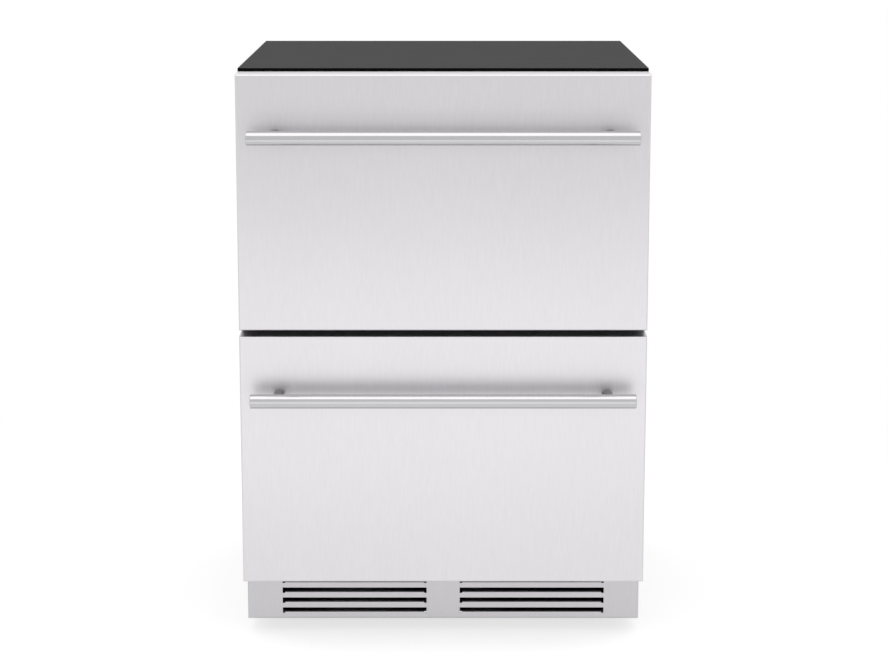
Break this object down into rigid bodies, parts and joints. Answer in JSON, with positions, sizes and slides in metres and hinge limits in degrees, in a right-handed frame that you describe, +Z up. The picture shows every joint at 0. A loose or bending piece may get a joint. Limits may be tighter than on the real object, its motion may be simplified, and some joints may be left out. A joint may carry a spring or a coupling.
{
  "type": "undercounter drawer refrigerator",
  "caption": "Undercounter refrigerator with stainless drawer fronts, round bar handles, louvred kick plate and full-extension drawer slides.",
  "frame": {"origin": "on the floor at the middle of the whole object with its handles, seen from above", "axes": "+Z up, -Y towards the user (the drawer fronts and handles), +Y towards the wall, +X to the right seen from the front"},
  "size_m": [0.597, 0.6563, 0.866],
  "materials": {
    "black_paint": "satin",
    "top_paint": "matte",
    "galvanised": "satin",
    "foam": "matte",
    "white_plastic": "satin",
    "black_frame": "satin",
    "mullion_plastic": "satin",
    "stainless_front": "satin",
    "stainless_kick": "satin",
    "stainless_handle": "polished",
    "stainless_post": "satin",
    "zinc": "satin",
    "ball_steel": "polished",
    "compressor_paint": "gloss",
    "black_rubber": "matte",
    "coil_metal": "satin",
    "black_plastic": "satin",
    "motor_metal": "satin",
    "clear_tube": "satin",
    "copper": "satin",
    "black_gloss": "gloss",
    "lamp_diffuser": "satin",
    "foot_plastic": "matte",
    "bin_plastic": "satin"
  },
  "bodies": {
    "cabinet": {"cabinet_shell": "black_paint", "top_panel": "top_paint", "back_panel": "galvanised", "base_pan": "black_paint", "insulation_foam": "foam", "inner_liner": "white_plastic", "front_frame": "black_frame", "mullion": "mullion_plastic", "kick_plate": "stainless_kick", "rear_cover": "galvanised", "rear_cover_screws": "zinc", "compressor": "compressor_paint", "compressor_pump": "motor_metal", "compressor_grommets": "black_rubber", "condenser": "coil_metal", "condenser_fan_shroud": "black_plastic", "condenser_fan_motor": "motor_metal", "drain_pan": "black_plastic", "drain_tube": "clear_tube", "refrigerant_lines": "copper", "evaporator": "coil_metal", "evaporator_cover": "white_plastic", "evaporator_fan_motor": "motor_metal", "control_panel": "black_gloss", "light_bar": "lamp_diffuser", "temperature_sensor": "white_plastic", "cord_gland": "black_plastic", "upper_fixed_rails": "zinc", "lower_fixed_rails": "zinc"},
    "upper_drawer": {"upper_front_skin": "stainless_front", "upper_front_foam": "foam", "upper_inner_panel": "white_plastic", "upper_gasket": "black_rubber", "upper_handle_bar": "stainless_handle", "upper_handle_posts": "stainless_post", "upper_handle_screws": "zinc", "upper_drawer_frame": "zinc", "upper_inner_rails": "zinc", "upper_bin": "bin_plastic"},
    "lower_drawer": {"lower_front_skin": "stainless_front", "lower_front_foam": "foam", "lower_inner_panel": "white_plastic", "lower_gasket": "black_rubber", "lower_handle_bar": "stainless_handle", "lower_handle_posts": "stainless_post", "lower_handle_screws": "zinc", "lower_drawer_frame": "zinc", "lower_inner_rails": "zinc", "lower_bin": "bin_plastic"},
    "upper_mid_slides": {"upper_mid_rails": "zinc", "upper_slide_balls": "ball_steel"},
    "lower_mid_slides": {"lower_mid_rails": "zinc", "lower_slide_balls": "ball_steel"},
    "condenser_fan_wheel": {"condenser_fan": "black_plastic"},
    "evaporator_fan_wheel": {"evaporator_fan": "white_plastic"},
    "front_left_foot": {"front_left_foot": "foot_plastic"},
    "front_right_foot": {"front_right_foot": "foot_plastic"},
    "rear_left_foot": {"rear_left_foot": "foot_plastic"},
    "rear_right_foot": {"rear_right_foot": "foot_plastic"}
  },
  "joints": [
    {"name": "upper_drawer_slide", "type": "slide", "parent": "cabinet", "child": "upper_drawer", "axis": [0, -1, 0], "range_m": [0, 0.4]},
    {"name": "lower_drawer_slide", "type": "slide", "parent": "cabinet", "child": "lower_drawer", "axis": [0, -1, 0], "range_m": [0, 0.4]},
    {"name": "upper_mid_slide", "type": "slide", "parent": "cabinet", "child": "upper_mid_slides", "axis": [0, -1, 0], "range_m": [0, 0.2]},
    {"name": "lower_mid_slide", "type": "slide", "parent": "cabinet", "child": "lower_mid_slides", "axis": [0, -1, 0], "range_m": [0, 0.2]},
    {"name": "condenser_fan_spin", "type": "hinge", "parent": "cabinet", "child": "condenser_fan_wheel", "pos_m": [-0.02, 0.22915, 0.138], "axis": [1, 0, 0], "continuous": true},
    {"name": "evaporator_fan_spin", "type": "hinge", "parent": "cabinet", "child": "evaporator_fan_wheel", "pos_m": [0, 0.23815, 0.47], "axis": [0, 1, 0], "continuous": true},
    {"name": "front_left_foot_turn", "type": "hinge", "parent": "cabinet", "child": "front_left_foot", "pos_m": [-0.2625, -0.08385, 0.02], "axis": [0, 0, 1], "continuous": true},
    {"name": "front_right_foot_turn", "type": "hinge", "parent": "cabinet", "child": "front_right_foot", "pos_m": [0.2625, -0.08385, 0.02], "axis": [0, 0, 1], "continuous": true},
    {"name": "rear_left_foot_turn", "type": "hinge", "parent": "cabinet", "child": "rear_left_foot", "pos_m": [-0.2625, 0.28615, 0.02], "axis": [0, 0, 1], "continuous": true},
    {"name": "rear_right_foot_turn", "type": "hinge", "parent": "cabinet", "child": "rear_right_foot", "pos_m": [0.2625, 0.28615, 0.02], "axis": [0, 0, 1], "continuous": true}
  ],
  "couplings": [
    {"joint": "upper_mid_slide", "follows": "upper_drawer_slide", "ratio": 0.5},
    {"joint": "lower_mid_slide", "follows": "lower_drawer_slide", "ratio": 0.5}
  ]
}
